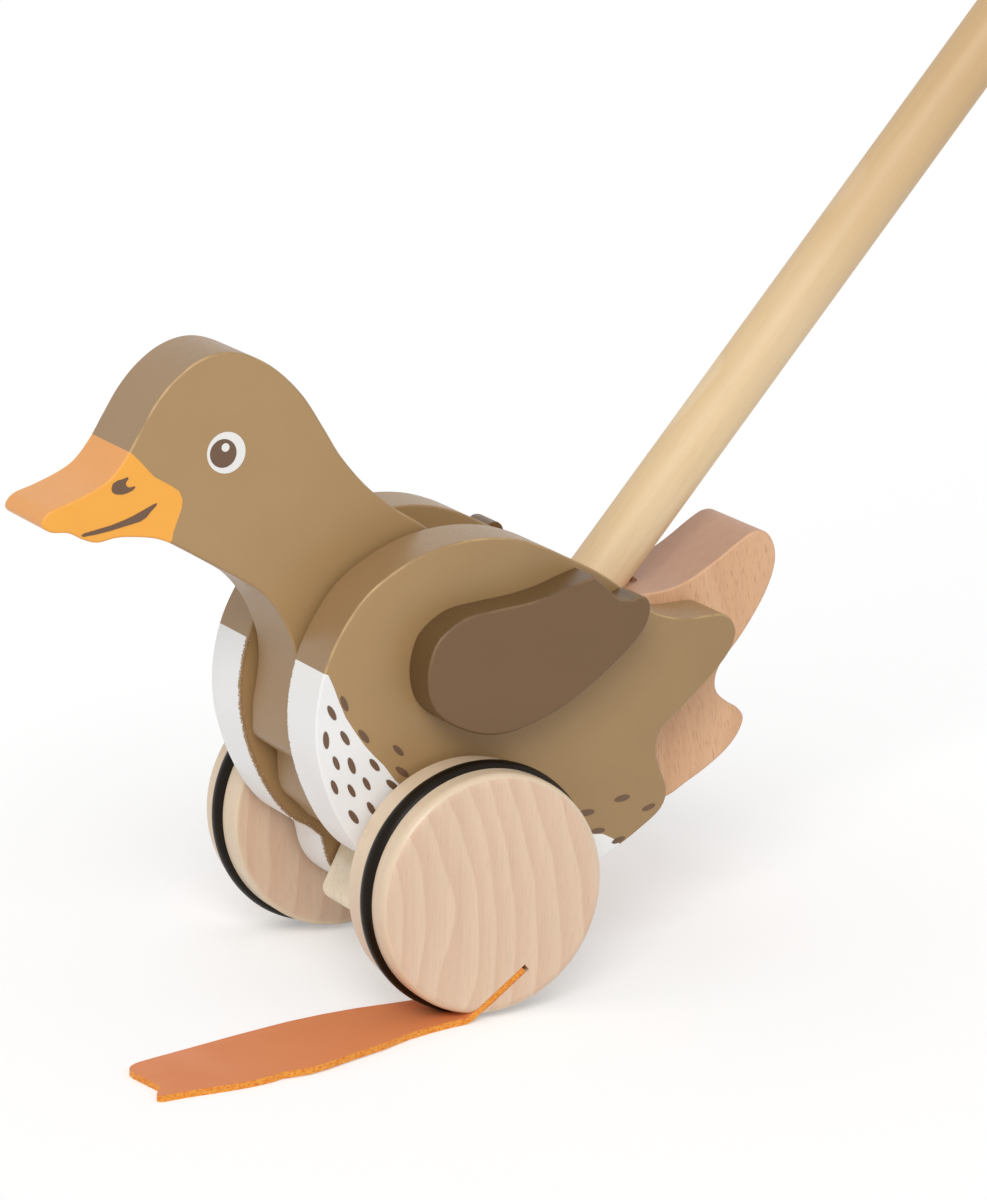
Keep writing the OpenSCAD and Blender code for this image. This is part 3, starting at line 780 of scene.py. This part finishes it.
# %% [markdown]
# ## Rubber rings
# Each tyre is a plain rubber ring of round section, so it is a fine torus in the groove. Its
# section is spun like the wheel, and the seam where the section closes is merged.

# %% Rubber rings
SEAM = 1e-6
section = bend((RING_R, RING_OUT), CORD_R, -180, 180, steps=28)
left_ring = spun("left_rubber_ring", section, WHEEL_SIDES, left_place, ring_rubber)
bm = bmesh.new()
bm.from_mesh(left_ring.data)
bmesh.ops.remove_doubles(bm, verts=bm.verts, dist=SEAM)
bm.to_mesh(left_ring.data)
bm.free()
right_ring = half_turned(left_ring, "right_rubber_ring")
for ring, name in ((left_ring, "left"), (right_ring, "right")):
    ring.data.shade_smooth()
    settle(ring, "wheelset", "tyre_rubber", name + "_tyre")
print("ring faces:", len(left_ring.data.polygons))

# %% [markdown]
# ## Push rod and peg
# The rod is a long pale dowel, rounded at the top, that leaves the tail plate at a slope. Painted
# shade makes it darker towards the top. A small reddish peg shows at its foot.

# %% Push rod and peg
ROD_TILT, ROD_R, ROD_LEN = math.radians(48.4), 9 * MM, 485 * MM
ROD_FOOT, ROD_INSIDE, ROD_END_ROUND = Vector((72.5 * MM, 0, 80.5 * MM)), 24 * MM, 6 * MM
ROD_STEPS, SHADE_FROM, SHADE_OVER = 40, 50 * MM, 130 * MM
ROD_SIDES, PEG_SIDES = 96, 32
PEG_PLACE, PEG_R, PEG_INSIDE = (11.3 * MM, 0, -2.9 * MM), 1.6 * MM, 14 * MM
PEG_ROUND, PEG_OUT = 0.8 * MM, 1 * MM


# Painted shade: how far up the rod the darker tone is laid on.
def painted_shade_up_rod(r, h):
    return min(1.0, max(0.0, (h - SHADE_FROM) / SHADE_OVER))


rod_place = Matrix.Translation(AXLE + ROD_FOOT) @ Matrix.Rotation(math.pi / 2 - ROD_TILT, 4, "Y")
straight = ROD_LEN - ROD_END_ROUND + ROD_INSIDE
profile = [(0, -ROD_INSIDE)]
profile += [(ROD_R, -ROD_INSIDE + k * straight / ROD_STEPS) for k in range(ROD_STEPS + 1)]
profile += bend((ROD_R - ROD_END_ROUND, ROD_LEN - ROD_END_ROUND), ROD_END_ROUND, 9, 90, steps=9)
profile += [(0, ROD_LEN)]
rod = smooth(spun("rod_dowel", profile, ROD_SIDES, rod_place, rod_wood, painted_shade_up_rod), angle=50)
settle(rod, "body", "rod_wood", "push_rod")
profile = [(0, -PEG_INSIDE), (PEG_R, -PEG_INSIDE)]
profile += bend((PEG_R - PEG_ROUND, PEG_OUT - PEG_ROUND), PEG_ROUND, 0, 90, steps=6)
profile += [(0, PEG_OUT)]
peg_place = rod_place @ Matrix.Translation(PEG_PLACE)
peg = smooth(spun("locking_peg_end", profile, PEG_SIDES, peg_place, peg_wood), angle=50)
settle(peg, "body", "peg_wood", "rod_locking_peg")
print("rod faces:", len(rod.data.polygons))

# %% [markdown]
# ## Eyes, nostrils and mouth
# These are stencilled spots of paint. Each is a thin flat shape that lies on the head's face,
# with a hair of thickness so that it never flickers against the board below.

# %% Eyes, nostrils and mouth
LIGHT, DARK, SUNK = 0, 1, 0.1 * MM


def disc(x, z, radius, count=48):
    turns = [2 * math.pi * k / count for k in range(count)]
    return [(x + radius * math.cos(a), z + radius * math.sin(a)) for a in turns]


eye, pupil, glint = disc(-62, 129, 6.1), disc(-63, 128.9, 4.2), disc(-62.3, 130.6, 1.25, 24)
nostril = [
    (-98.2, 122.5), (-97.7, 124), (-96.1, 124.8), (-94.4, 125), (-93.1, 125.4), (-92.8, 124.9),
    (-93.6, 124), (-93.7, 123.2), (-93, 122.4), (-92, 122.3), (-90.9, 122.5), (-90.8, 122.1),
    (-91.5, 121.4), (-93.1, 120.8), (-94.8, 120.5), (-96.9, 120.8), (-97.9, 121.5),
]
mouth = [
    (-107.8, 110.1), (-106.9, 110.6), (-103, 111.2), (-98.6, 111.9), (-94.6, 112.9), (-91.5, 113.9),
    (-87.1, 115.7), (-84.9, 116.6), (-84, 116.7), (-84.3, 116), (-86.2, 114.3), (-87.6, 112.8),
    (-89.3, 112), (-92, 111.5), (-95.5, 110.9), (-99, 110.3), (-103.4, 109.8), (-107.3, 109.6),
]
marks = [
    (eye, LIGHT, 0.10 * MM), (pupil, DARK, 0.18 * MM), (glint, LIGHT, 0.25 * MM),
    (nostril, DARK, 0.12 * MM), (mouth, DARK, 0.12 * MM),
]
points, faces, indices = [], [], []
for side in (-1, 1):
    face_y = head_high.y * side
    for shape, paint_index, proud in marks:
        base, count = len(points), len(shape)
        for y in (face_y - side * SUNK, face_y + side * proud):
            points += [(x * MM, y, z * MM + AXLE.z) for x, z in shape]
        faces += [[base + k for k in range(count)], [base + count + k for k in range(count)]]
        faces += [(base + k, base + (k + 1) % count, base + count + (k + 1) % count, base + count + k)
                  for k in range(count)]
        indices += [paint_index] * (count + 2)
face_marks = new_piece("face_marks", points, faces, [eye_white, mark_paint], indices)
settle(face_marks, "head", "body_paint")
print("face marks:", len(marks) * 2)

# %% [markdown]
# ## Breast speckles
# The speckles repeat, so Geometry Nodes place one small oval on each point of a list, turn it
# and vary its size a little with a fixed seed.

# %% Speckle tree
SMALLEST, LARGEST = 0.88, 1.08
speckles = bpy.data.node_groups.new("painted_speckles", "GeometryNodeTree")


def speckle_input(label, kind):
    return speckles.interface.new_socket(label, in_out="INPUT", socket_type="NodeSocket" + kind)


speckle_input("Geometry", "Geometry")
for label, value in (("Length", 5.1 * MM), ("Width", 1.8 * MM), ("Depth", 0.3 * MM)):
    speckle_input(label, "Float").default_value = value
speckle_input("Seed", "Int").default_value = 4
speckle_input("Paint", "Material")
speckles.interface.new_socket("Geometry", in_out="OUTPUT", socket_type="NodeSocketGeometry")
s_in = speckles.nodes.new("NodeGroupInput").outputs
s_out = speckles.nodes.new("NodeGroupOutput").inputs
oval = add(speckles, "GeometryNodeMeshCylinder", {"Vertices": 24, "Radius": 0.5, "Depth": 1.0})
size = add(speckles, "ShaderNodeCombineXYZ",
           {"X": s_in["Width"], "Y": s_in["Length"], "Z": s_in["Depth"]})
flat = add(speckles, "GeometryNodeTransform", {
    "Geometry": oval.outputs["Mesh"], "Rotation": (math.pi / 2, 0, 0), "Scale": size.outputs[0],
})
lean = add(speckles, "GeometryNodeInputNamedAttribute", {"Name": "lean"}, data_type="FLOAT")
spin = add(speckles, "ShaderNodeCombineXYZ", {"Y": lean.outputs["Attribute"]})
vary = add(speckles, "FunctionNodeRandomValue", {2: SMALLEST, 3: LARGEST, "Seed": s_in["Seed"]},
           data_type="FLOAT")
dots = add(speckles, "GeometryNodeInstanceOnPoints", {
    "Points": s_in["Geometry"], "Instance": flat.outputs[0], "Rotation": spin.outputs[0],
    "Scale": vary.outputs[1],
})
real = add(speckles, "GeometryNodeRealizeInstances", {"Geometry": dots.outputs[0]})
painted = add(speckles, "GeometryNodeSetMaterial",
              {"Geometry": real.outputs[0], "Material": s_in["Paint"]})
speckles.links.new(painted.outputs[0], s_out[0])
print("speckle tree:", len(speckles.nodes), "nodes")

# %% [markdown]
# The spots are listed by place and lean, in millimetres and degrees, and both panels get them.
# The result is made a plain mesh, because an export to glTF drops instances.

# %% Speckles on the panels
breast_spots = [
    (-39.8, 54.1, -28), (-41.7, 46.2, -5), (-35.6, 46, -30), (-38.5, 38.9, -22),
    (-33.5, 37.4, -20), (-26.1, 36.6, -37), (-39.1, 31.7, -22), (-33.6, 29.9, -28),
    (-28.7, 31.3, -28), (-20.3, 29.7, -48), (-27.2, 23.6, -31), (-33, 21.9, -34),
    (-35.7, 56.3, -22), (-29.5, 45.7, -37), (-18.3, 39.9, -43), (-17.1, 33.3, -52),
]
rump_spots = [(56.3, 14.8, 83), (65.4, 10.7, 75), (44.2, 12.1, 90), (48.1, 5.9, 90), (55.1, 2, 77)]


def scatter(name, spots, seed):
    face_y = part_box("left_side_panel")[0].y
    points = [(x * MM, side * face_y, z * MM + AXLE.z) for x, z, _ in spots for side in (1, -1)]
    leans = [math.radians(degrees) for _, _, degrees in spots for _ in (1, -1)]
    dotted = new_piece(name, points, [], [], None, {"lean": leans})
    modifier = dotted.modifiers.new("speckles", "NODES")
    modifier.node_group = speckles
    sockets = [item for item in speckles.interface.items_tree if item.in_out == "INPUT"]
    names = {item.name: item.identifier for item in sockets}
    for label, value in (("Seed", seed), ("Paint", mark_paint)):
        modifier[names[label]] = value
    as_plain_mesh(dotted)
    return settle(dotted, "body", "body_paint")


for name, spots, seed in (("breast_speckles", breast_spots, 4), ("rump_speckles", rump_spots, 7)):
    dotted = scatter(name, spots, seed)
    print(dotted.name, "faces:", len(dotted.data.polygons))

# %% [markdown]
# ## Leather feet
# A foot is one strip of leather. Its tongue sits in the saw cut, it bends once where it leaves
# the wheel, and then lies forward along the floor and widens to webbed toes. It could be
# draped by simulation, but thick leather keeps the bend it was given, so its centre line is
# drawn as a path and the outline is laid along it.

# %% Path and width of a foot
LEATHER_T, TONGUE, BEND_R = 2 * MM, 6 * MM, 6 * MM
FLOOR_MID = LEATHER_T / 2
RISE, RISE_FROM, RISE_OVER = 0.4 * MM, 14, 84
TONGUE_STEPS, BEND_STEPS = 14, 8


def foot_rise(x):
    share = min(1, max(0, (x / MM - RISE_FROM) / RISE_OVER))
    return RISE * math.sin(math.pi * share) ** 2


reach = (AXLE.z - FLOOR_MID - KERF_OFF * math.cos(KERF_TILT)) / math.sin(KERF_TILT)
inside = reach - BEND_R * math.tan(KERF_TILT / 2) - TONGUE
path = [AXLE + kerf_along * (TONGUE + inside * k / TONGUE_STEPS) + kerf_side * KERF_OFF
        for k in range(TONGUE_STEPS + 1)]
centre = path[-1] - kerf_side * BEND_R
for k in range(1, BEND_STEPS + 1):
    a = KERF_TILT * (1 - k / BEND_STEPS)
    path.append(centre + Vector((math.sin(a), 0, -math.cos(a))) * BEND_R)
flat_start = -path[-1].x
outer_edge = [
    (0, 10.8), (6.5, 10.8), (14, 11.4), (22, 13), (30, 15.3), (41, 20.2), (53, 24.2), (62, 27.4),
    (68.5, 29), (74, 28.8), (77, 28.4), (81, 29.6), (88, 30.4), (97, 30.2), (106, 29.6), (117, 29.7),
]
inner_edge = [
    (0, -10.8), (6.5, -10.8), (14, -11.1), (22, -11.4), (33, -11.9), (45, -11.2), (57, -9.8),
    (67, -8), (78, -6.1), (91, -3.4), (102, -1), (108.5, 0.6), (117, 3.6),
]
toe_line = [
    (0.0, 110.4), (0.02, 112.2), (0.05, 113.4), (0.1, 114.2), (0.2, 114.3), (0.4, 113.6),
    (0.63, 112.8), (0.74, 112.6), (0.77, 113.1), (0.87, 115.2), (0.94, 116.4), (0.97, 116.3),
    (1.0, 115.4),
]
print("bend ends at", round(flat_start, 4), "path points:", len(path))

# %% [markdown]
# The strip is a grid: rows along the path, columns across the width. The last rows stretch to
# the toe line, so the notch between the toes comes from the grid itself. The top is one
# material, and the underside and the cut sides are another, because the cut shows its fibres.

# %% Leather strip
COLUMNS, FLAT_ROWS, TOP, CUT = 44, 90, 0, 1


def along(table, x):
    return float(np.interp(x, [p[0] for p in table], [p[1] for p in table]))


shares = [k / COLUMNS for k in range(COLUMNS + 1)]
ends = [along(toe_line, s) * MM for s in shares]
rows = [[(p.x, p.z)] * len(shares) for p in path]
for k in range(1, FLAT_ROWS + 1):
    lengths = [flat_start + (end - flat_start) * k / FLAT_ROWS for end in ends]
    rows.append([(-x, FLOOR_MID + foot_rise(x)) for x in lengths])
grid = np.array(rows)
steps = np.gradient(grid, axis=0)
steps /= np.linalg.norm(steps, axis=2)[:, :, None]
normal = np.stack([steps[:, :, 1], -steps[:, :, 0]], 2)
points = []
for face in (1, -1):
    for r in range(len(rows)):
        for c, s in enumerate(shares):
            x, z = grid[r, c] + normal[r, c] * face * LEATHER_T / 2
            ahead = max(0.0, -grid[r, c][0] / MM)
            y = along(inner_edge, ahead) * (1 - s) + along(outer_edge, ahead) * s
            points.append((x, -TRACK - y * MM, z))
size, wide = len(rows) * len(shares), len(shares)
faces, indices = [], []
for face in (TOP, CUT):
    for r in range(len(rows) - 1):
        for c in range(COLUMNS):
            a = face * size + r * wide + c
            faces.append((a, a + 1, a + wide + 1, a + wide))
            indices.append(face)
border = list(range(wide)) + [r * wide + COLUMNS for r in range(1, len(rows))]
border += [(len(rows) - 1) * wide + c for c in range(COLUMNS - 1, -1, -1)]
border += [r * wide for r in range(len(rows) - 2, 0, -1)]
for a, b in zip(border, border[1:] + border[:1]):
    faces.append((a, b, b + size, a + size))
    indices.append(CUT)
left_leather = new_piece("left_leather_foot", points, faces, [leather_top, leather_cut], indices)

# %% [markdown]
# The tyre stands on the floor beside the bend, so the leather is pressed thin where the rubber
# ring crosses it. The far foot is the same strip half a turn round the axle.

# %% Set the feet in the wheels
PRESS_FROM, PRESS_CLEAR, THINNEST = 8 * MM, 0.25 * MM, 0.15 * MM
pressed = 0
for v in left_leather.data.vertices:
    gap = abs(v.co.y + TRACK + RING_OUT) - CORD_R
    away = v.co - AXLE
    radius = math.hypot(away.x, away.z)
    cord = math.sqrt(max(0.0, CORD_R ** 2 - min(CORD_R, gap + CORD_R) ** 2))
    clear = RING_R + cord + PRESS_CLEAR
    if gap < 0 and -v.co.x > PRESS_FROM and radius < clear:
        v.co.z = max(THINNEST, AXLE.z - math.sqrt(max(0, clear ** 2 - away.x ** 2)))
        pressed += 1
right_leather = half_turned(left_leather, "right_leather_foot")
for leather, name, sign in ((left_leather, "left", 1), (right_leather, "right", -1)):
    leather.data.shade_smooth()
    leather.data.set_sharp_from_angle(angle=math.radians(40))
    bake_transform(leather)
    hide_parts(name + "_foot", name + "_foot_root")
print("pressed points:", pressed)

# %% [markdown]
# ## Dowels and washers
# The remaining CAD pieces are plain turned dowels and washers, most of them out of sight. Their
# shape is already right, so they only get the wood.

# %% Dowels and washers
plain = [name for name, node in NODES.items() if not node.hide_render]
for name in plain:
    NODES[name].data.materials.clear()
    NODES[name].data.materials.append(pale_wood)
print("kept CAD nodes:", sorted(plain))

# %% [markdown]
# ## Floor
# The toy stands on a pale floor that runs out of sight. A plain white surface would come out
# grey, so a little of it glows, but only for what sees it, and it still takes the shadow.

# %% Floor
FLOOR_HALF, FLOOR_TONE, FLOOR_ROUGHNESS = 6, (0.93, 0.93, 0.93, 1), 0.9
GLOW, GLOW_SHARE = 2.67, 0.12


def seen_by(tree):
    rays = add(tree, "ShaderNodeLightPath").outputs
    seen = math_node(tree, "MAXIMUM", rays["Is Camera Ray"], rays["Is Glossy Ray"])
    return math_node(tree, "MAXIMUM", seen, rays["Is Transmission Ray"])


corners = [(x * FLOOR_HALF, y * FLOOR_HALF, 0) for x, y in ((-1, -1), (1, -1), (1, 1), (-1, 1))]
floor_mesh = bpy.data.meshes.new("studio_floor")
floor_mesh.from_pydata(corners, [], [(0, 1, 2, 3)])
floor = in_scene("studio_floor", floor_mesh)
floor_paint = bpy.data.materials.new("studio_floor")
floor_paint.use_nodes = True
tree = floor_paint.node_tree
floor_shader = tree.nodes["Principled BSDF"]
floor_shader.inputs["Base Color"].default_value = FLOOR_TONE
floor_shader.inputs["Roughness"].default_value = FLOOR_ROUGHNESS
floor_shader.inputs["Specular IOR Level"].default_value = 0.0
glow = add(tree, "ShaderNodeEmission", {"Color": WHITE, "Strength": GLOW})
share = math_node(tree, "MULTIPLY", seen_by(tree), GLOW_SHARE)
both = add(tree, "ShaderNodeMixShader", {0: share, 1: floor_shader.outputs[0], 2: glow.outputs[0]})
tree.links.new(both.outputs[0], tree.nodes["Material Output"].inputs["Surface"])
floor_mesh.materials.append(floor_paint)
print("floor width:", 2 * FLOOR_HALF, "m")

# %% [markdown]
# ## Light
# A broad lamp at the front left and a white room give soft shadows to the right, at a level
# where a colour renders about as it is written. The room looks white, but lights less.

# %% Light
ROOM_LIGHT, ROOM_SEEN = 0.6, 1.0
SUN_LIGHT, SUN_SPREAD, SUN_WAY = 1.2, math.radians(30), Vector((0.40, 0.66, -0.63))
world = bpy.data.worlds.new("studio_room")
world.use_nodes = True
bpy.context.scene.world = world
room = world.node_tree
dim = add(room, "ShaderNodeBackground", {"Color": WHITE, "Strength": ROOM_LIGHT})
bright = add(room, "ShaderNodeBackground", {"Color": WHITE, "Strength": ROOM_SEEN})
both = add(room, "ShaderNodeMixShader", {0: seen_by(room), 1: dim.outputs[0], 2: bright.outputs[0]})
room.links.new(both.outputs[0], room.nodes["World Output"].inputs["Surface"])
key = bpy.data.lights.new("key_lamp", "SUN")
key.energy, key.angle = SUN_LIGHT, SUN_SPREAD
key_lamp = in_scene("key_lamp", key)
key_lamp.rotation_euler = SUN_WAY.to_track_quat("-Z", "Y").to_euler()
print("lamps:", len(bpy.data.lights))
